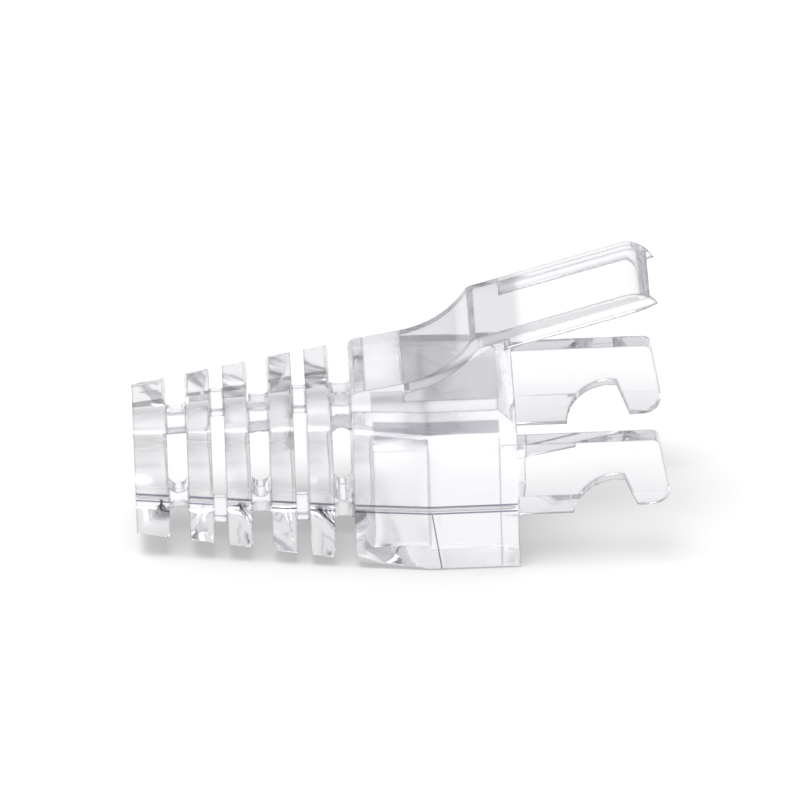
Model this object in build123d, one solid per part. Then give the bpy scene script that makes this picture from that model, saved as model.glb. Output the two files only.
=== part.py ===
from build123d import *
import math
import os

# Strain relief boot for a crimped modular plug, moulded in one piece of clear soft plastic.
# Frame: origin on the cable axis at the cable end, +X towards the plug, +Z to the latch side,
# +Y to the left of someone who looks along +X. Millimetres and degrees.

# Plug that the boot fits
plug_width = 11.68
plug_height = 8.7
plug_clearance = 0.05

# Cable passage, straight at the cable end and then wider towards the body
cable_bore = 4.6
bore_root = 6.2
bore_land = 2.0

# Walls of the body
side_wall = 1.43
top_wall = 1.15
floor_wall = 1.3

# Flexible neck, a tapered blank cut across by turns
neck_tip_width = 7.7
neck_tip_height = 8.6
neck_root_width = 13.0
neck_root_height = 11.1
neck_corner = 1.0
first_cut = 3.1
cut_pitch = 2.95
open_grooves = 3

# Open grooves, which leave one web above the cable and one below it
groove_width = 1.4
groove_flare = 10.0
skin_clearance = 0.02
groove_lip = 0.25
groove_lower_lip = 0.5
groove_floor_radius = 0.2
saddle_radius = 0.45
saddle_tip_height = 3.63
saddle_root_height = 4.6
web_tip_width = 0.9
web_root_width = 3.2
window_margin = 0.05
window_drop = 0.25

# Narrow slots from side to side, which leave a flat web above and one below
slot_width = 0.95
slot_web_width = 2.9
slot_web_thickness = 0.62
slot_window_height = 8.3
slot_window_drop = 0.1

# Body that the plug's rear end goes into, tapered over its rear part only
body_length = 12.45
body_corner = 1.2
body_rear_top = 5.4
body_rear_bottom = -5.7
pocket_drop = 0.5
pocket_length = 6.35
chamber_length = 3.9
chamber_inset = 0.2
pocket_corner = 0.6
mouth_lead = 1.1
mouth_flare = 0.3

# Parting line along both sides, with more draft and tighter corners below it
parting_height = -1.3
lower_draft = 4.0
lower_corner = 0.3

# Raised pad on the body's top that the latch guard grows out of
guard_width = 7.56
pad_top = 6.05
pad_setback = 1.15
pad_corner = 0.5

# Latch guard: a bent plate with a flange down each side of its free end
guard_plate = 0.86
guard_base_length = 3.76
guard_base_slope = 9.5
guard_bend_radius = 7.1
guard_bend_turn = 50.0
guard_plate_slope = 16.0
guard_reach = 11.82
guard_heel_radius = 0.6
guard_elbow_radius = 0.5
flange_depth = 1.6
flange_thickness = 0.6
flange_start = 2.4
nose_length = 1.7
nose_bulge = 0.32
nose_taper = 0.45

# Prongs that clip into the plug's sides
prong_length = 10.8
prong_top = 4.2
prong_bottom = -2.1
prong_tip_lean = 0.7
prong_tip_radius = 0.6
prong_toe_radius = 1.4
prong_chamfer_start = -0.12
prong_chamfer_angle = 22.5
notch_radius = 3.1
notch_from_body = 7.05
hook_crest = 7.6
hook_heel = 8.5
hook_depth = 0.6

# Places that follow from the sizes above
neck_length = first_cut + (2 * open_grooves - 2) * cut_pitch
body_front = neck_length + body_length
body_rear = neck_length + groove_width / 2
pocket_width = plug_width + 2 * plug_clearance
pocket_height = plug_height + 2 * plug_clearance
pocket_ceiling = pocket_height / 2 - pocket_drop
pocket_floor = -pocket_height / 2 - pocket_drop
front_width = pocket_width + 2 * side_wall
front_top = pocket_ceiling + top_wall
front_bottom = pocket_floor - floor_wall
step_place = body_front - pocket_length
chamber_rear = step_place - chamber_length
prong_front = body_front + prong_length
hook_bottom = prong_bottom + hook_depth

# Size that clears the whole part, the distance under which two points are the same, right angle
reach = 2 * body_front
touch = 0.01
quarter_turn = 90.0


def along(start, end, share):
    """Value that lies the given share of the way from start to end."""
    return start + (end - start) * share


def corners_at(outline, *points):
    """Corners of a flat outline that lie on the given points."""
    spots = [Vector(*point) for point in points]
    return [v for v in outline.vertices() if any((Vector(v) - s).length < touch for s in spots)]


def half_height(x):
    """Half height of the neck's blank at the place x on the cable axis."""
    return along(neck_tip_height, neck_root_height, x / neck_length) / 2


def saddle_height(x):
    """Height above the cable axis at which an open groove at x bottoms on its web."""
    return along(saddle_tip_height, saddle_root_height, x / neck_length)


def web_width(x):
    """Width of the webs that an open groove at x leaves."""
    return along(web_tip_width, web_root_width, x / neck_length)


def bore_radius(x):
    """Radius of the cable passage at x."""
    share = max(x - bore_land, 0) / (chamber_rear - bore_land)
    return along(cable_bore, bore_root, share) / 2


def drafted_section(x, width, top, bottom, corner):
    """Cross-section at x: straight sides above the parting line, drawn in below it."""
    side = width / 2
    foot = side - (parting_height - bottom) * math.tan(math.radians(lower_draft))
    outline = Polygon(
        (side, parting_height),
        (side, top),
        (-side, top),
        (-side, parting_height),
        (-foot, bottom),
        (foot, bottom),
        align=None,
    )
    outline = fillet(corners_at(outline, (side, top), (-side, top)), corner)
    outline = fillet(corners_at(outline, (foot, bottom), (-foot, bottom)), lower_corner)
    return Plane.YZ.offset(x) * outline


def neck_blank():
    """Tapered neck before it is cut."""
    tip = drafted_section(
        0, neck_tip_width, neck_tip_height / 2, -neck_tip_height / 2, neck_corner
    )
    root = drafted_section(
        neck_length, neck_root_width, neck_root_height / 2, -neck_root_height / 2, neck_corner
    )
    return loft([tip, root], ruled=True)


def body_blank():
    """Body before it is hollowed: a tapered rear part and a straight part round the pocket."""
    rear = drafted_section(
        neck_length, neck_root_width, body_rear_top, body_rear_bottom, body_corner
    )
    crease = drafted_section(step_place, front_width, front_top, front_bottom, body_corner)
    straight = extrude(crease, amount=pocket_length, dir=(1, 0, 0))
    return loft([rear, crease], ruled=True) + straight


def just_above_skin(x):
    """Point of the side view that clears the neck's tapered top a little at x."""
    return x, half_height(x) + skin_clearance


def mouth_profile(x, floor_radius, lip_radius):
    """Side outline of an open groove above the cable axis, with rounded floor and lips."""
    floor = saddle_height(x)
    half = groove_width / 2
    spread = half + (half_height(x) - floor) * math.tan(math.radians(groove_flare))
    left, right = (just_above_skin(place) for place in (x - spread, x + spread))
    rear, front = (just_above_skin(place) for place in (x - cut_pitch, x + cut_pitch))
    floors = ((x - half, floor), (x + half, floor))
    outline = Polygon(*floors, right, left, align=None)
    above = ((front[0], reach), (rear[0], reach))
    outline += Polygon(rear, left, right, front, *above, align=None)
    outline = fillet(corners_at(outline, left, right), lip_radius)
    return fillet(corners_at(outline, *floors), floor_radius)


def below(profile):
    """Mirror image of a side outline below the cable axis."""
    return mirror(profile, about=Plane.XZ)


def across(profile, width):
    """Extrude a side outline by the whole width, half to each side."""
    return extrude(Plane.XZ * profile, amount=width / 2, both=True)


def groove_profile(x, floor_radius, lower_lip):
    """Side outline of an open groove above and below the cable, with its own lips below."""
    lower = mouth_profile(x, floor_radius, lower_lip)
    return mouth_profile(x, floor_radius, groove_lip) + below(lower)


def open_groove(x):
    """Groove right round the neck that leaves a saddle-shaped web above and one below."""
    through = Pos(x, 0) * Rectangle(groove_width, half_height(x) + saddle_height(x))
    sides = across(groove_profile(x, groove_floor_radius, groove_lower_lip) + through, reach)
    sides -= Box(2 * reach, web_width(x), reach)
    window_height = 2 * (bore_radius(x) + window_margin)
    window = SlotOverall(window_height, groove_width)
    window = Pos(x, -window_drop) * Rot(0, 0, quarter_turn) * window
    webs = across(groove_profile(x, saddle_radius, groove_lip) + window, web_width(x))
    return [sides, webs]


def narrow_slot(x):
    """Slot right through the neck that leaves a flat web above and one below."""
    slot = Pos(x, 0, 0) * Box(slot_width, reach, reach)
    web = Box(2 * slot_width, slot_web_width, slot_web_thickness)
    rise = (slot_window_height + slot_web_thickness) / 2
    for height in (rise - slot_window_drop, -rise - slot_window_drop):
        slot -= Pos(x, 0, height) * web
    return [slot]


def neck_cuts():
    """Open grooves and narrow slots by turns, one pitch apart."""
    cuts = []
    for pair in range(open_grooves):
        place = first_cut + 2 * pair * cut_pitch
        cuts += open_groove(place)
        if pair < open_grooves - 1:
            cuts += narrow_slot(place + cut_pitch)
    return cuts


def cable_passage():
    """Passage for the cable: a straight land at the cable end, then a cone to the chamber."""
    land = extrude(Plane.YZ * Circle(bore_radius(0)), amount=bore_land)
    ends = (bore_land, chamber_rear + chamber_length / 2)
    cone = loft([Plane.YZ.offset(x) * Circle(bore_radius(x)) for x in ends], ruled=True)
    return land + cone


def pocket_section(x, grow):
    """Section of the plug pocket at x, larger by grow on every side."""
    middle = (pocket_ceiling + pocket_floor) / 2
    outline = RectangleRounded(
        pocket_width + 2 * grow, pocket_height + 2 * grow, pocket_corner + max(grow, 0)
    )
    return Plane.YZ.offset(x) * Pos(0, middle) * outline


def plug_cavity():
    """Pocket for the plug, its flared mouth, and the smaller chamber behind the plug."""
    pocket = extrude(pocket_section(step_place, 0), amount=pocket_length)
    chamber = extrude(
        pocket_section(chamber_rear, -chamber_inset), amount=chamber_length + pocket_length / 2
    )
    mouth = loft(
        [pocket_section(body_front - mouth_lead, 0), pocket_section(body_front, mouth_flare)],
        ruled=True,
    )
    return [pocket, chamber, mouth]


def latch_pad():
    """Low flat pad along the body's top, with rounded front corners."""
    front = body_front - pad_setback
    side = guard_width / 2
    foot = pocket_ceiling + top_wall / 2
    plan = Polygon(
        (body_rear, -side), (front, -side), (front, side), (body_rear, side), align=None
    )
    plan = fillet(corners_at(plan, (front, -side), (front, side)), pad_corner)
    return extrude(Plane.XY.offset(foot) * plan, amount=pad_top - foot)


def heading(angle):
    """Unit vector in the side view at the given angle above +X."""
    return Vector(math.cos(math.radians(angle)), math.sin(math.radians(angle)))


def below_heading(angle):
    """Unit vector square to that heading, on its lower side."""
    return heading(angle - quarter_turn)


def guard_path():
    """Corners of the guard's side view: heel, bend, bend's centre, elbow, end of plate, tip."""
    heel = Vector(body_rear, pad_top + guard_plate)
    bend = heel + heading(guard_base_slope) * guard_base_length
    centre = bend - below_heading(guard_base_slope) * guard_bend_radius
    elbow = centre + below_heading(guard_base_slope + guard_bend_turn) * guard_bend_radius
    end = elbow + heading(guard_plate_slope) * guard_reach
    tip = end + heading(guard_plate_slope) * nose_length
    tip += below_heading(guard_plate_slope) * flange_depth
    return heel, bend, centre, elbow, end, tip


def bend_outline(centre, radius):
    """Part of a ring that is one plate thick, turned about the centre of the bend."""
    start = guard_base_slope - quarter_turn
    inner = CenterArc(centre, radius, start, guard_bend_turn)
    outer = CenterArc(centre, radius + guard_plate, start, guard_bend_turn)
    ends = [Line(inner @ 0, outer @ 0), Line(inner @ 1, outer @ 1)]
    return make_face([inner, outer] + ends)


def guard_plate_outline():
    """Side outline of the bent plate, from its heel on the pad to the end of its flat part."""
    heel, bend, centre, elbow, end, tip = guard_path()
    down = below_heading(guard_plate_slope) * guard_plate
    under = below_heading(guard_base_slope) * guard_plate
    foot = Vector(body_rear, body_rear_top)
    base = make_face(Polyline(heel, bend, bend + under, Vector(bend.X, foot.Y), foot, close=True))
    flat = make_face(Polyline(elbow, end, end + down, elbow + down, close=True))
    outline = base + bend_outline(centre, guard_bend_radius) + flat
    outline = fillet(corners_at(outline, heel), guard_heel_radius)
    return fillet(corners_at(outline, elbow), guard_elbow_radius)


def nose_outline(depth):
    """Side outline of the free end, to the given depth below the plate's upper face."""
    heel, bend, centre, elbow, end, tip = guard_path()
    out = heading(guard_plate_slope) * reach
    down = below_heading(guard_plate_slope)
    middle = (end + tip) / 2 + heading(guard_plate_slope + quarter_turn / 2) * nose_bulge
    corner = end + down * flange_depth
    nose = make_face([ThreePointArc(end, middle, tip), Line(tip, corner), Line(corner, end)])
    drop = down * depth
    band = Polyline(end - out, end + out, end + out + drop, end - out + drop, close=True)
    return nose & make_face(band)


def flange_outline():
    """Side outline of one flange, square at its rear and pointed at the nose."""
    heel, bend, centre, elbow, end, tip = guard_path()
    tilt = math.cos(math.radians(guard_plate_slope))
    start = elbow + heading(guard_plate_slope) * (flange_start / tilt)
    corner = start - Vector(0, flange_depth / tilt)
    down = below_heading(guard_plate_slope) * flange_depth
    side = make_face(Polyline(start, end, end + down, corner, close=True))
    return side + nose_outline(flange_depth)


def guard_plan():
    """Plan of the guard, with its nose drawn in on both sides by a curve."""
    heel, bend, centre, elbow, end, tip = guard_path()
    side = guard_width / 2
    tip_side = side - nose_taper
    left = TangentArc((end.X, side), (tip.X, tip_side), tangent=(1, 0))
    right = TangentArc((end.X, -side), (tip.X, -tip_side), tangent=(1, 0))
    far = Line((tip.X, tip_side), (tip.X, -tip_side))
    back = Polyline((end.X, side), (0, side), (0, -side), (end.X, -side))
    return make_face([left, right, far, back])


def latch_guard():
    """Bent plate and its two flanges, trimmed to the plan of the guard."""
    plate = across(guard_plate_outline() + nose_outline(guard_plate), guard_width)
    flanges = across(flange_outline(), guard_width)
    flanges -= Box(2 * reach, guard_width - 2 * flange_thickness, reach)
    trim = extrude(guard_plan(), amount=reach)
    return (plate + flanges) & trim


def prong_blade():
    """Side outline of a prong before it is notched, with a rounded tip and toe."""
    root = body_front - mouth_lead
    tip = (prong_front - prong_tip_lean, prong_top)
    toe = (prong_front - prong_tip_lean * hook_bottom / prong_top, hook_bottom)
    blade = Polygon(
        (root, prong_top),
        tip,
        toe,
        (body_front + hook_heel, hook_bottom),
        (body_front + hook_crest, pocket_floor),
        (root, pocket_floor),
        align=None,
    )
    blade = fillet(corners_at(blade, tip), prong_tip_radius)
    return fillet(corners_at(blade, toe), prong_toe_radius)


def prong_outline():
    """Side outline of a prong: the round notch ends in the slanted rear face of the hook."""
    notch_x = body_front + notch_from_body
    crest_x = body_front + hook_crest
    crest_z = prong_bottom + math.sqrt(notch_radius**2 - (crest_x - notch_x) ** 2)
    bite = Pos(notch_x, prong_bottom) * Circle(notch_radius)
    hook = Polygon(
        (crest_x, crest_z),
        (body_front + hook_heel, hook_bottom),
        (prong_front + prong_tip_lean, hook_bottom),
        (prong_front + prong_tip_lean, prong_top),
        (crest_x, prong_top),
        align=None,
    )
    shank = Polygon(
        (body_front - mouth_lead, prong_bottom),
        (crest_x, prong_bottom),
        (crest_x, prong_top),
        (body_front - mouth_lead, prong_top),
        align=None,
    )
    return prong_blade() & ((shank - bite) + hook)


def prong_section():
    """Cross-section of the prong on the +Y side, thinned towards its lower edge."""
    inner = pocket_width / 2
    outer = front_width / 2
    slope = math.tan(math.radians(prong_chamfer_angle))
    foot = outer - (prong_chamfer_start - prong_bottom) * slope
    return Polygon(
        (inner, prong_top),
        (outer, prong_top),
        (outer, prong_chamfer_start),
        (foot, prong_bottom),
        (inner, prong_bottom),
        align=None,
    )


def prongs():
    """Both prongs, mirror images about the middle plane."""
    root = Plane.YZ.offset(body_front - mouth_lead)
    bar = extrude(root * prong_section(), amount=reach, dir=(1, 0, 0))
    left = bar & across(prong_outline(), reach)
    return [left, mirror(left, about=Plane.XZ)]


def strain_relief_boot():
    """The whole moulding as one solid."""
    boot = neck_blank() + body_blank()
    boot -= neck_cuts()
    boot += latch_pad()
    boot += latch_guard()
    boot -= plug_cavity()
    boot += prongs()
    boot -= cable_passage()
    return boot


os.makedirs("parts", exist_ok=True)
boot = strain_relief_boot()
export_step(boot, "parts/strain_relief_boot.step")
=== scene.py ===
import math

import bmesh
import bpy
import numpy as np
from bpy.props import FloatProperty, FloatVectorProperty, PointerProperty
from mathutils import Matrix, Vector
from mathutils.bvhtree import BVHTree


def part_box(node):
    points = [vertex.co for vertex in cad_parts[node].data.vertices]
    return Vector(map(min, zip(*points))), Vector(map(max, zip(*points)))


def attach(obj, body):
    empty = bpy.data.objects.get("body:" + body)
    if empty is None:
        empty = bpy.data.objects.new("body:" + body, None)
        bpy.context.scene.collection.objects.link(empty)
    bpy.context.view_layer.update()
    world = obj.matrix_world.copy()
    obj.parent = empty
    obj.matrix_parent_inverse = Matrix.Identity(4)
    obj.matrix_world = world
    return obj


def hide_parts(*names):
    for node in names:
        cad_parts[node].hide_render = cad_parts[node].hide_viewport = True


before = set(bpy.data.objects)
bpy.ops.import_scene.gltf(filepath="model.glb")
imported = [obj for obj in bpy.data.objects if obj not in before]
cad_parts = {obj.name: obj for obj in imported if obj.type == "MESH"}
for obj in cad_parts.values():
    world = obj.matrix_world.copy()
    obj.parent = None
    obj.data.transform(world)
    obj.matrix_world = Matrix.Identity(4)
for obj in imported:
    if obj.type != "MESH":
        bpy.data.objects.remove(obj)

bl_info = {
    "name": "Clear strain relief boot",
    "version": (1, 0, 0),
    "blender": (4, 5, 0),
    "location": "3D View > Sidebar > Boot",
    "description": "Clear moulded strain relief boot on a plain studio floor",
    "category": "Add Mesh",
}

MM = 0.001
NODE = "strain_relief_boot"
FLOOR_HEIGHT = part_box(NODE)[0][2] - 0.02 * MM

# What the camera looks at, and how the photograph was framed; angles in degrees
TARGET = Vector((19.0, 0.0, 3.0)) * MM
VIEW_AZIMUTH = 1.02
VIEW_ELEVATION = 30.78
VIEW_ROLL = 1.70
VIEW_DISTANCE = 1.095
VIEW_FIELD = 57.36 * MM
AIM_RIGHT = 0.172 * MM
AIM_UP = 0.825 * MM
SENSOR = 36.0

# Merging of the CAD mesh, and the angle from which an edge is shaded sharp
SAME_POINT = 0.002 * MM
SAME_PLANE = math.radians(0.2)
SHARP_EDGE = math.radians(30.0)

# Matt walls of the cores. A pair says where a mark begins and where it is full.
BORE_SLOPE = 0.053
BORE_WALL = (2.35 * MM, 2.4 * MM)
BORE_END = (17.2 * MM, 17.3 * MM)
POCKET_MIDDLE = -0.5 * MM
POCKET_SIDE = (6.0 * MM, 6.2 * MM)
POCKET_RISE = (4.45 * MM, 4.6 * MM)
POCKET_REAR = (16.9 * MM, 17.0 * MM)
POCKET_MOUTH = (27.3 * MM, 27.34 * MM)
POCKET_CEILING = (3.3 * MM, 3.6 * MM)
POCKET_MATT = 0.6
# Painted light: the pocket's walls glow faintly and its ceiling more, though they are no lamp.
POCKET_PAINTED_GLOW = 0.05
CEILING_PAINTED_GLOW = 0.11

# Fine lines beside the seam, the line behind the mouth, and the step between two inserts with its
# crease line; the lines' darkness is painted shade
SEAM_FRONT = (27.2 * MM, 27.3 * MM)
FLANK_OFFSET = 0.27 * MM
FLANK_WIDTH = 0.05 * MM
CHEEK = (6.3 * MM, 6.5 * MM)
UNDER_SEAM = (-0.4 * MM, -0.3 * MM)
SPLIT_PLACE = 21.2 * MM
SPLIT_HEIGHT = -1.9 * MM
SPLIT_SLANT = 0.126
STEP_UP = (-0.03 * MM, 0.3 * MM)
STEP_DOWN = (0.3 * MM, 0.6 * MM)
SPLIT_WIDTH = 0.035 * MM
LIP_PLACE = 26.05 * MM
LIP_WIDTH = 0.04 * MM
LIP_SHARE = 0.6

# Where the plastic looks greyer, painted shade: the prongs darker towards the bottom, their
# up-facing tops, the shoulders and the guard's rise, and how much of the painted shade colour each
# takes
PRONG_START = (27.3 * MM, 27.5 * MM)
PRONG_FADE = (-4.0 * MM, 4.0 * MM)
PRONG_SHADE = 0.3
TOP_RISE = (3.0 * MM, 3.5 * MM)
TOP_FALL = (5.6 * MM, 6.0 * MM)
FACING_UP = (0.8, 0.95)
TOP_SHADE = 0.45
SHOULDER_REAR = (17.0 * MM, 17.2 * MM)
SHOULDER_FRONT = (26.0 * MM, 26.2 * MM)
SHOULDER_RISE = (4.5 * MM, 4.7 * MM)
SHOULDER_FALL = (5.6 * MM, 5.9 * MM)
SHOULDER_INNER = (4.9 * MM, 5.3 * MM)
SHOULDER_OUTER = (6.6 * MM, 6.9 * MM)
SHOULDER_SHADE = 0.75
RISER_RISE = (5.7 * MM, 6.1 * MM)
RISER_FRONT = (27.4 * MM, 28.2 * MM)
RISER_SHADE = 0.25

# Painted dark line of shade along the upper side edges of the guard
GUARD_SHADE_LINE_COLOUR = (0.0, 0.0, 0.01, 1.0)
ACCENT_REACH = 0.35 * MM
ACCENT_TURN = (0.05, 0.2)
ACCENT_UPRIGHT = (0.3, 0.5)
ACCENT_RISE = (5.9 * MM, 6.2 * MM)
ACCENT_START = (19.8 * MM, 20.6 * MM)
ACCENT_THIN = (24.2 * MM, 25.0 * MM)
ACCENT_LOSS = 0.6

# Painted shade along edges: how far the rounded normal has to turn before an edge is darkened, and
# where the skin counts as turning away and its rim is darkened
BEVEL_SAMPLES = 2
EDGE_TURN = (0.8, 0.99)
GRAZING = (0.6, 0.95)

# Waves in the skin: the flow lines run along the body below the guard
FLOW_STRETCH = (0.12, 1.0, 1.0)
FLOW_SCALE = 600.0
FLOW_REAR = (16.0 * MM, 17.0 * MM)
FLOW_FRONT = (27.0 * MM, 27.3 * MM)
FLOW_TOP = (5.5 * MM, 6.5 * MM)
HAZE_SCALE = 900.0
HAZE_LOW = 0.6
HAZE_SPAN = 0.8

# Seam bead: stations along the part, the skin's least reach, and the bead's section
SEAM_STATIONS = (0.1, 27.2, 0.05)
RAY_START = 12.0 * MM
SKIN_REACH = 3.4 * MM
SKIN_SLOPE = 0.1
SHORTEST_RUN = 8
BEAD_POINTS = 13
BEAD_END_POWER = 20
BEAD_SUNK = 0.5

# Light paths, floor, lamp and background
MOST_BOUNCES = 32
GLOSSY_BOUNCES = 24
FLOOR_POINTS = 9
GLOW_THROUGH = 0.85
LAMP_LENGTH = 0.35
LAMP_WIDTH = 0.25
LAMP_PLACE = Vector((-0.07, -0.1, 0.5))
SKY_LEVEL = 0.74
SKY_RISE = 0.3
SKY_ABOVE = (0.0, 0.5)
SIDE_WAY = (0.45, 0.85)
SIDE_DARK = 0.85
ROOM_UP = 0.5
ROOM_BACK = 0.86
ROOM_WAY = (0.78, 0.95)
ROOM_DARK = 0.85


class Number:
    """A socket that carries a number: Python's operators on it add Math nodes."""

    def __init__(self, bench, socket):
        self.bench = bench
        self.socket = socket

    def __add__(self, other):
        return self.bench.math("ADD", self, other)

    __radd__ = __add__

    def __sub__(self, other):
        return self.bench.math("SUBTRACT", self, other)

    def __rsub__(self, other):
        return self.bench.math("SUBTRACT", other, self)

    def __mul__(self, other):
        return self.bench.math("MULTIPLY", self, other)

    __rmul__ = __mul__

    def __pow__(self, other):
        return self.bench.math("POWER", self, other)

    def __abs__(self):
        return self.bench.add("ShaderNodeMath", {"operation": "ABSOLUTE"}, {0: self})

    def most(self, other):
        """The larger of the two."""
        return self.bench.math("MAXIMUM", self, other)

    def rise(self, pair):
        """0 below the pair's first number, 1 above its second, and a smooth step between them."""
        settings = {"interpolation_type": "SMOOTHSTEP"}
        inputs = {"Value": self, "From Min": pair[0], "From Max": pair[1]}
        return self.bench.add("ShaderNodeMapRange", settings, inputs, "Result")

    def fall(self, pair):
        """1 below the pair's first number and 0 above its second."""
        return 1.0 - self.rise(pair)

    def within(self, first, last):
        """1 between two pairs, 0 outside them."""
        return self.rise(first) * self.fall(last)


class Bench:
    """Node tree of a material or of the world, with one method that adds any node."""

    def __init__(self, owner):
        owner.use_nodes = True
        self.tree = owner.node_tree
        self.tree.nodes.clear()

    def add(self, kind, settings=None, inputs=None, output=0):
        """Add a node: its settings first, then its sockets' values or links."""
        node = self.tree.nodes.new(kind)
        for name, value in (settings or {}).items():
            setattr(node, name, value)
        for key, value in (inputs or {}).items():
            if isinstance(value, Number):
                self.tree.links.new(value.socket, node.inputs[key])
            else:
                node.inputs[key].default_value = value
        return Number(self, node.outputs[output]) if len(node.outputs) else None

    def math(self, operation, left, right):
        """A Math node of two numbers."""
        return self.add("ShaderNodeMath", {"operation": operation}, {0: left, 1: right})

    def axis(self, vector, name):
        """One of a vector's three numbers."""
        return self.add("ShaderNodeSeparateXYZ", None, {"Vector": vector}, name)

    def blend(self, share, first, second):
        """Mix of two colours."""
        inputs = {"Factor": share, "A": first, "B": second}
        return self.add("ShaderNodeMix", {"data_type": "RGBA"}, inputs, "Result")

    def rounded(self, radius):
        """The skin's normal, rounded over its edges by the radius."""
        return self.add("ShaderNodeBevel", {"samples": BEVEL_SAMPLES}, {"Radius": radius})


def surface_mesh(name, points):
    """Mesh of a grid of points: rows along the first parameter, columns along the second."""
    rows, columns = points.shape[:2]
    index = np.arange(rows * columns).reshape(rows, columns)
    quads = np.stack(
        [index[:-1, :-1], index[:-1, 1:], index[1:, 1:], index[1:, :-1]], axis=-1
    ).reshape(-1, 4)
    mesh = bpy.data.meshes.new(name)
    mesh.from_pydata(points.reshape(-1, 3).tolist(), [], quads.tolist())
    mesh.polygons.foreach_set("use_smooth", np.ones(len(quads), dtype=bool))
    mesh.update()
    return mesh


def link_object(name, data):
    """Object for the data, linked into the scene at the origin."""
    piece = bpy.data.objects.new(name, data)
    bpy.context.scene.collection.objects.link(piece)
    return piece


def line(offset, half_width):
    """1 within half_width of where the offset is nothing, and 0 beyond twice that."""
    return abs(offset).fall((half_width, 2.0 * half_width))


def core_masks(x, y, z):
    """1 on the walls that the moulding cores leave: first the bore's, then the plug pocket's."""
    radius = (y * y + z * z) ** 0.5
    bore = (radius - BORE_SLOPE * x).fall(BORE_WALL) * x.fall(BORE_END)
    pocket = abs(y).fall(POCKET_SIDE) * abs(z - POCKET_MIDDLE).fall(POCKET_RISE)
    return bore, pocket * x.within(POCKET_REAR, POCKET_MOUTH)


def seam_marks(look, x, y, z):
    """Marks of the mould's parts: a low step on the cheeks, and the fine lines near the seams,
    whose darkness is painted shade.
    """
    offset = z - look.seam_height
    # Painted shade: dark lines along the seam's flanks, the inserts' crease and the lip behind the
    # mouth.
    flanks = line(abs(offset) - FLANK_OFFSET, FLANK_WIDTH) * x.fall(SEAM_FRONT)
    cheek = abs(y).rise(CHEEK)
    low_cheek = cheek * offset.fall(UNDER_SEAM)
    split = x - SPLIT_PLACE + SPLIT_SLANT * (z - SPLIT_HEIGHT)
    step = split.within(STEP_UP, STEP_DOWN) * low_cheek
    crease = line(split, SPLIT_WIDTH) * low_cheek
    lip = line(x - LIP_PLACE, LIP_WIDTH) * cheek
    return step, flanks.most(crease).most(LIP_SHARE * lip)


def soft_shade(x, y, z, level):
    """Painted shade where the plastic looks greyer: the prongs darker towards the bottom, their
    up-facing tops, the body's shoulders and the guard's rise.
    """
    prongs = x.rise(PRONG_START) * z.fall(PRONG_FADE)
    tops = x.rise(PRONG_START) * z.within(TOP_RISE, TOP_FALL) * level.rise(FACING_UP)
    shoulder = z.within(SHOULDER_RISE, SHOULDER_FALL)
    shoulder *= abs(y).within(SHOULDER_INNER, SHOULDER_OUTER)
    shoulder *= x.within(SHOULDER_REAR, SHOULDER_FRONT)
    riser = z.rise(RISER_RISE) * x.fall(RISER_FRONT)
    shade = (RISER_SHADE * riser).most(PRONG_SHADE * prongs)
    return shade.most(SHOULDER_SHADE * shoulder).most(TOP_SHADE * tops)


def guard_shade_line(bench, x, z, level):
    """1 along the upper side edges of the guard, where a dark line of shade is painted: on upright
    skin whose rounded normal rises.
    """
    turned = bench.axis(bench.rounded(ACCENT_REACH), "Z") - level
    accent = turned.rise(ACCENT_TURN) * abs(level).fall(ACCENT_UPRIGHT) * z.rise(ACCENT_RISE)
    return accent * x.rise(ACCENT_START) * (1.0 - ACCENT_LOSS * x.rise(ACCENT_THIN))


def skin_height(bench, look, place, step):
    """Height of the skin: faint ripples, long waves along the body, and the inserts' step."""
    x, z = bench.axis(place, "X"), bench.axis(place, "Z")
    along = bench.add("ShaderNodeMapping", None, {"Vector": place, "Scale": FLOW_STRETCH})
    flow = bench.add(
        "ShaderNodeTexNoise", None, {"Vector": along, "Scale": FLOW_SCALE, "Detail": 1.0}
    )
    ripple = bench.add(
        "ShaderNodeTexNoise", None, {"Vector": place, "Scale": look.ripple_scale, "Detail": 1.0}
    )
    flow *= z.fall(FLOW_TOP) * x.within(FLOW_REAR, FLOW_FRONT)
    return look.ripple_depth * ripple + look.flow_depth * flow + look.step_rise * step


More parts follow.
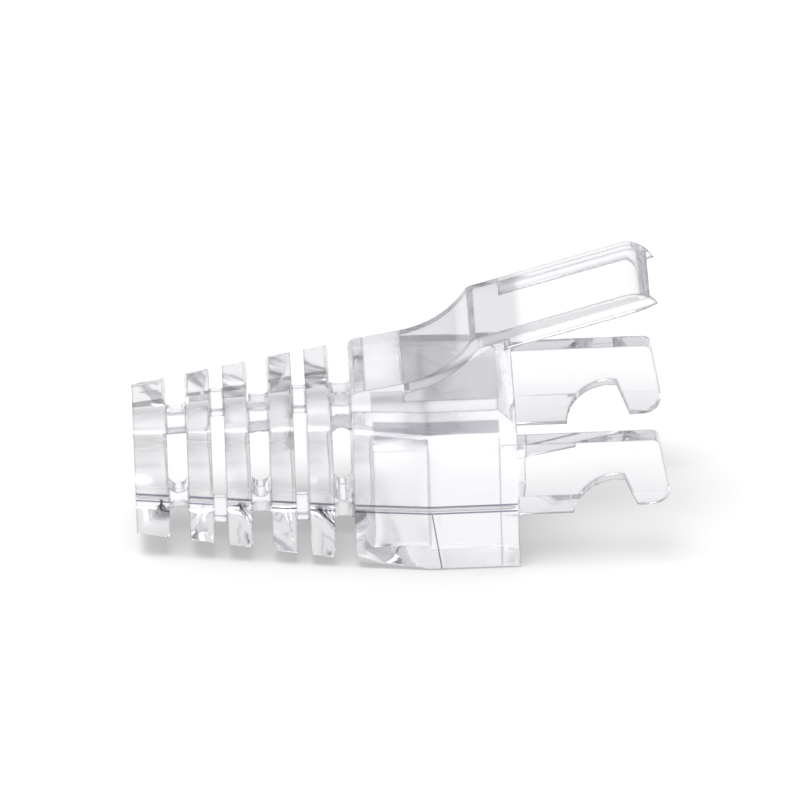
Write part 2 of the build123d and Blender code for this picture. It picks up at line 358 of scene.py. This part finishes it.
def clear_plastic(look):
    """Clear moulded plastic: glossy outside, finely matt where the cores were, faintly rippled,
    with painted shade along its edges, lines and greyer areas and a painted glow in the pocket.
    """
    material = bpy.data.materials.new("clear_plastic")
    bench = Bench(material)
    place = bench.add("ShaderNodeTexCoord", output="Object")
    x, y, z = (bench.axis(place, name) for name in "XYZ")
    bore, pocket = core_masks(x, y, z)
    outside = 1.0 - bore.most(pocket)
    step, lines = seam_marks(look, x, y, z)
    height = skin_height(bench, look, place, step * outside)
    bump = bench.add(
        "ShaderNodeBump",
        None,
        {"Height": height * (1.0 / MM), "Distance": MM, "Normal": bench.rounded(look.edge_radius)},
    )
    flat = bench.add("ShaderNodeNewGeometry", output="Normal")
    level = bench.axis(flat, "Z")
    agree = bench.add(
        "ShaderNodeVectorMath",
        {"operation": "DOT_PRODUCT"},
        {0: bench.rounded(look.outline_width), 1: flat},
        "Value",
    )
    facing = bench.add("ShaderNodeLayerWeight", None, {"Blend": 0.5}, "Facing")
    # Painted shade: edges where the rounded normal turns, the seam lines, rims turning away and
    # the greyer areas are darkened.
    edge = agree.fall(EDGE_TURN).most(lines * outside).most(look.painted_rim_shade * facing.rise(GRAZING))
    edge = edge.most(soft_shade(x, y, z, level))
    # Painted shade: the clear colour turns towards the painted shade colour wherever the mask
    # above is high.
    tint = bench.blend(edge, (*look.colour, 1.0), (*look.painted_shade_colour, 1.0))
    haze = bench.add(
        "ShaderNodeTexNoise", None, {"Vector": place, "Scale": HAZE_SCALE, "Detail": 3.0}
    )
    skin = look.roughness * (HAZE_LOW + HAZE_SPAN * haze)
    shader = bench.add(
        "ShaderNodeBsdfPrincipled",
        None,
        {
            # Painted shade: a near-black line along the guard's upper side edges.
            "Base Color": bench.blend(guard_shade_line(bench, x, z, level), tint, GUARD_SHADE_LINE_COLOUR),
            "Roughness": skin + look.core_roughness * bore.most(POCKET_MATT * pocket),
            "IOR": look.ior,
            "Transmission Weight": 1.0,
            "Normal": bump,
            # Painted light: the pocket glows, its ceiling most, to brighten the body seen through
            # it.
            "Emission Color": pocket * (POCKET_PAINTED_GLOW + CEILING_PAINTED_GLOW * z.rise(POCKET_CEILING)),
            "Emission Strength": 1.0,
        },
    )
    depth = bench.add(
        "ShaderNodeVolumeAbsorption",
        None,
        {"Color": (*look.depth_colour, 1.0), "Density": look.depth_density},
    )
    bench.add("ShaderNodeOutputMaterial", None, {"Surface": shader, "Volume": depth})
    return material


def merged_copy(node, name):
    """Copy of a CAD node's mesh with its loose triangles joined into one closed surface."""
    mesh = node.data.copy()
    mesh.name = name
    work = bmesh.new()
    work.from_mesh(mesh)
    bmesh.ops.remove_doubles(work, verts=work.verts, dist=SAME_POINT)
    bmesh.ops.dissolve_limit(work, angle_limit=SAME_PLANE, verts=work.verts, edges=work.edges)
    work.to_mesh(mesh)
    work.free()
    mesh.materials.clear()
    return mesh


def skin_runs(node, side, height):
    """Runs of points along the outer skin at one height, where rays from the side meet it."""
    work = bmesh.new()
    work.from_mesh(node.data)
    tree = BVHTree.FromBMesh(work)
    work.free()
    stations = np.arange(*SEAM_STATIONS) * MM
    hits = [
        tree.ray_cast(Vector((x, RAY_START * side, height)), Vector((0.0, -side, 0.0)))[0]
        for x in stations
    ]
    reach = np.array([side * hit.y if hit else 0.0 for hit in hits])
    on_skin = reach > SKIN_REACH + SKIN_SLOPE * stations
    starts = np.flatnonzero(np.diff(on_skin.astype(int), prepend=0) == 1)
    ends = np.flatnonzero(np.diff(on_skin.astype(int), append=0) == -1) + 1
    return [
        np.stack([stations[a:b], side * reach[a:b], np.full(b - a, height)], axis=-1)
        for a, b in zip(starts, ends)
        if b - a > SHORTEST_RUN
    ]


def bead_points(run, side, radius):
    """Round bead along a run: a circle carried along it, drawn in to a point at both ends."""
    share = np.linspace(-1.0, 1.0, len(run))[:, None]
    size = radius * np.sqrt(np.clip(1.0 - share**BEAD_END_POWER, 0.0, 1.0))
    turn = -side * np.linspace(0.0, 2.0 * math.pi, BEAD_POINTS)[None, :]
    x = np.repeat(run[:, :1], BEAD_POINTS, axis=1)
    y = run[:, 1:2] - side * BEAD_SUNK * radius + size * np.cos(turn)
    z = run[:, 2:3] + size * np.sin(turn)
    return np.stack([x, y, z], axis=-1)


class MouldingLook(bpy.types.PropertyGroup):
    """Sizes and finish of the clear moulding, and the painted shade on its edges, lines and greyer
    areas.
    """

    colour: FloatVectorProperty(
        name="Colour",
        description="Tint of the clear plastic",
        default=(0.985, 0.985, 0.995),
        subtype="COLOR",
        min=0.0,
        max=1.0,
    )
    # Painted shade: the dark colour that edges, seam lines, turning rims and the greyer areas take
    # in place of light and shade.
    painted_shade_colour: FloatVectorProperty(
        name="Edge colour",
        description="Tint of the clear plastic along its edges and fine lines",
        default=(0.08, 0.08, 0.13),
        subtype="COLOR",
        min=0.0,
        max=1.0,
    )
    depth_colour: FloatVectorProperty(
        name="Depth colour",
        description="Tint that light takes on inside the plastic",
        default=(0.64, 0.64, 0.73),
        subtype="COLOR",
        min=0.0,
        max=1.0,
    )
    depth_density: FloatProperty(
        name="Depth density", description="How fast the plastic dims the light in it", default=14.0
    )
    ior: FloatProperty(
        name="Refraction", description="Index of refraction", default=1.49, min=1.0, max=2.0
    )
    roughness: FloatProperty(
        name="Roughness",
        description="Roughness of the moulded skin",
        default=0.03,
        min=0.0,
        max=1.0,
    )
    core_roughness: FloatProperty(
        name="Core roughness",
        description="Roughness that the moulding cores add in the bore and the pocket",
        default=0.42,
        min=0.0,
        max=1.0,
    )
    ripple_depth: FloatProperty(
        name="Ripple depth",
        description="Height of the skin's faint ripples",
        default=0.003 * MM,
        unit="LENGTH",
        precision=6,
    )
    ripple_scale: FloatProperty(
        name="Ripple scale", description="Ripples in a metre", default=260.0, min=0.0
    )
    flow_depth: FloatProperty(
        name="Flow depth",
        description="Height of the long soft waves that the flowing plastic left",
        default=0.03 * MM,
        unit="LENGTH",
        precision=6,
    )
    edge_radius: FloatProperty(
        name="Edge radius",
        description="Width of the rounding on the moulding's edges",
        default=0.12 * MM,
        unit="LENGTH",
        precision=6,
    )
    # Painted shade: width of the dark band painted along the edges.
    outline_width: FloatProperty(
        name="Outline width",
        description="Width of the darker band along the moulding's edges",
        default=0.22 * MM,
        unit="LENGTH",
        precision=6,
    )
    # Painted shade: how much of the painted shade colour the rims take where the skin turns away.
    painted_rim_shade: FloatProperty(
        name="Rim tint",
        description="How much of the edge colour shows where the skin turns away",
        default=0.4,
        min=0.0,
        max=1.0,
    )
    seam_height: FloatProperty(
        name="Seam height",
        description="Height of the plane where the halves of the mould met",
        default=-1.0 * MM,
        unit="LENGTH",
        precision=6,
    )
    seam_radius: FloatProperty(
        name="Seam radius",
        description="Radius of the round bead along the seam, partly sunk in the skin",
        default=0.16 * MM,
        unit="LENGTH",
        precision=6,
    )
    step_rise: FloatProperty(
        name="Step rise",
        description="Height of the step where two inserts of the mould met",
        default=0.06 * MM,
        unit="LENGTH",
        precision=6,
    )


class StudioLook(bpy.types.PropertyGroup):
    """Floor, lamp and background."""

    floor_colour: FloatVectorProperty(
        name="Floor colour",
        description="Colour of the floor under the part",
        default=(0.45, 0.45, 0.455),
        subtype="COLOR",
        min=0.0,
        max=1.0,
    )
    floor_glow: FloatProperty(
        name="Floor glow", description="White that the floor adds towards the camera", default=0.46
    )
    through_glow: FloatProperty(
        name="Floor glow through",
        description="White of the floor where it is seen through the part",
        default=1.0,
    )
    through_share: FloatProperty(
        name="Glow share through",
        description="How much of the floor's shadow that white covers, seen through the part",
        default=0.85,
        min=0.0,
        max=1.0,
    )
    floor_size: FloatProperty(
        name="Floor size", description="Half width of the floor", default=1.5, unit="LENGTH"
    )
    top_power: FloatProperty(
        name="Top lamp", description="Power of the lamp above", default=2.5, unit="POWER"
    )
    sky_light: FloatProperty(
        name="Soft light", description="Strength of the light from all round", default=1.0
    )


class BOOT_OT_moulding(bpy.types.Operator):
    """Make the clear moulding over its CAD node"""

    bl_idname = "boot.moulding"
    bl_label = "Clear moulding"

    def execute(self, context):
        look = context.scene.boot_moulding
        mesh = merged_copy(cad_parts[NODE], "clear_boot")
        piece = link_object("clear_boot", mesh)
        mesh.materials.append(clear_plastic(look))
        mesh.shade_smooth()
        mesh.set_sharp_from_angle(angle=SHARP_EDGE)
        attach(piece, "root")
        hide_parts(NODE)
        return {"FINISHED"}


class BOOT_OT_seam(bpy.types.Operator):
    """Make the fine bead along the mould's parting plane on both sides"""

    bl_idname = "boot.seam"
    bl_label = "Parting seam"

    def execute(self, context):
        look = context.scene.boot_moulding
        work = bmesh.new()
        for side in (-1.0, 1.0):
            for run in skin_runs(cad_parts[NODE], side, look.seam_height):
                part = surface_mesh("seam_run", bead_points(run, side, look.seam_radius))
                work.from_mesh(part)
                bpy.data.meshes.remove(part)
        bmesh.ops.remove_doubles(work, verts=work.verts, dist=0.5 * SAME_POINT)
        bmesh.ops.recalc_face_normals(work, faces=work.faces)
        mesh = bpy.data.meshes.new("parting_seam")
        work.to_mesh(mesh)
        work.free()
        mesh.materials.append(bpy.data.materials["clear_plastic"])
        seam = link_object("parting_seam", mesh)
        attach(seam, "root")
        return {"FINISHED"}


class BOOT_OT_stage(bpy.types.Operator):
    """Make the floor, the lamp, the background and the camera"""

    bl_idname = "boot.stage"
    bl_label = "Studio stage"

    def execute(self, context):
        look = context.scene.boot_studio
        make_floor(look)
        make_world(look)
        make_lamp(look)
        make_camera(context.scene)
        context.scene.view_settings.view_transform = "Standard"
        make_light_paths(context.scene.cycles)
        return {"FINISHED"}


def make_light_paths(cycles):
    """Let light turn often enough inside the clear walls, and keep the part's shadow plain."""
    cycles.max_bounces = MOST_BOUNCES
    cycles.glossy_bounces = GLOSSY_BOUNCES
    cycles.transmission_bounces = MOST_BOUNCES
    cycles.caustics_refractive = False
    cycles.caustics_reflective = False


def make_floor(look):
    """Plain pale floor just under the part: a flat square grid."""
    side = np.linspace(-look.floor_size, look.floor_size, FLOOR_POINTS)
    x, y = np.meshgrid(side, side, indexing="xy")
    points = np.stack([x, y, np.full_like(x, FLOOR_HEIGHT)], axis=-1)
    floor = link_object("studio_floor", surface_mesh("studio_floor", points))
    material = bpy.data.materials.new("studio_floor")
    bench = Bench(material)
    seen = bench.add("ShaderNodeLightPath", output="Is Camera Ray")
    seen += bench.add("ShaderNodeLightPath", output="Is Glossy Ray")
    through = bench.add("ShaderNodeLightPath", output="Is Transmission Ray")
    matt = bench.add("ShaderNodeBsdfDiffuse", None, {"Color": (*look.floor_colour, 1.0)})
    strength = look.floor_glow * (seen + GLOW_THROUGH * through)
    glow = bench.add("ShaderNodeEmission", None, {"Strength": strength})
    lit = bench.add("ShaderNodeAddShader", None, {0: matt, 1: glow})
    white = bench.add("ShaderNodeEmission", None, {"Strength": look.through_glow})
    share = look.through_share * through
    both = bench.add("ShaderNodeMixShader", None, {0: share, 1: lit, 2: white})
    bench.add("ShaderNodeOutputMaterial", None, {"Surface": both})
    floor.data.materials.append(material)


def make_world(look):
    """White background with soft light, darker from both sides and from behind the camera."""
    world = bpy.data.worlds.new("studio")
    bpy.context.scene.world = world
    bench = Bench(world)
    way = bench.add("ShaderNodeTexCoord", output="Generated")
    across, ahead, height = (bench.axis(way, name) for name in "XYZ")
    seen = bench.add("ShaderNodeLightPath", output="Is Camera Ray")
    level = SKY_LEVEL + SKY_RISE * height.rise(SKY_ABOVE)
    side = (across * across).rise(SIDE_WAY)
    room = (ROOM_UP * height - ROOM_BACK * ahead).rise(ROOM_WAY)
    soft = look.sky_light * level * (1.0 - SIDE_DARK * side) * (1.0 - ROOM_DARK * room)
    strength = seen + (1.0 - seen) * soft
    sky = bench.add("ShaderNodeBackground", None, {"Strength": strength})
    bench.add("ShaderNodeOutputWorld", None, {"Surface": sky})


def make_lamp(look):
    """Soft lamp above the part, turned towards it."""
    data = bpy.data.lights.new("top_lamp", "AREA")
    data.shape = "RECTANGLE"
    data.size = LAMP_LENGTH
    data.size_y = LAMP_WIDTH
    data.energy = look.top_power
    lamp = link_object("top_lamp", data)
    turn = (TARGET - LAMP_PLACE).to_track_quat("-Z", "Y").to_matrix().to_4x4()
    lamp.matrix_world = Matrix.Translation(LAMP_PLACE) @ turn


def make_camera(scene):
    """Long lens at the photograph's angle."""
    azimuth, elevation, roll = (
        math.radians(angle) for angle in (VIEW_AZIMUTH, VIEW_ELEVATION, VIEW_ROLL)
    )
    back = Vector(
        (
            -math.sin(azimuth) * math.cos(elevation),
            -math.cos(azimuth) * math.cos(elevation),
            math.sin(elevation),
        )
    )
    right = Vector((0, 0, 1)).cross(back).normalized()
    up = back.cross(right)
    turned_right = math.cos(roll) * right - math.sin(roll) * up
    turned_up = math.sin(roll) * right + math.cos(roll) * up
    aim = TARGET + AIM_RIGHT * turned_right + AIM_UP * turned_up
    data = bpy.data.cameras.new("camera")
    data.sensor_width = SENSOR
    data.lens = SENSOR * VIEW_DISTANCE / VIEW_FIELD
    data.clip_start = 0.01
    data.clip_end = 100.0
    camera = link_object("camera", data)
    turn = Matrix((turned_right, turned_up, back)).transposed().to_4x4()
    camera.matrix_world = Matrix.Translation(aim + VIEW_DISTANCE * back) @ turn
    scene.camera = camera


class BOOT_PT_panel(bpy.types.Panel):
    """Buttons and sizes of the boot in the sidebar"""

    bl_idname = "BOOT_PT_panel"
    bl_label = "Strain relief boot"
    bl_space_type = "VIEW_3D"
    bl_region_type = "UI"
    bl_category = "Boot"

    def draw(self, context):
        groups = (
            ("boot_moulding", (BOOT_OT_moulding, BOOT_OT_seam)),
            ("boot_studio", (BOOT_OT_stage,)),
        )
        for group, operators in groups:
            box = self.layout.box()
            look = getattr(context.scene, group)
            for name in look.__annotations__:
                box.prop(look, name)
            for operator in operators:
                box.operator(operator.bl_idname)


CLASSES = (
    MouldingLook,
    StudioLook,
    BOOT_OT_moulding,
    BOOT_OT_seam,
    BOOT_OT_stage,
    BOOT_PT_panel,
)


def register():
    """Register the classes and put the two groups of sizes on the scene."""
    for entry in CLASSES:
        bpy.utils.register_class(entry)
    bpy.types.Scene.boot_moulding = PointerProperty(type=MouldingLook)
    bpy.types.Scene.boot_studio = PointerProperty(type=StudioLook)


def unregister():
    """Take the groups and the classes away again."""
    del bpy.types.Scene.boot_studio
    del bpy.types.Scene.boot_moulding
    for entry in reversed(CLASSES):
        bpy.utils.unregister_class(entry)


def main():
    """Make the part and its stage."""
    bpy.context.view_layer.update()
    register()
    bpy.ops.boot.moulding()
    bpy.ops.boot.seam()
    bpy.ops.boot.stage()
    bpy.context.view_layer.update()


if __name__ == "__main__":
    main()
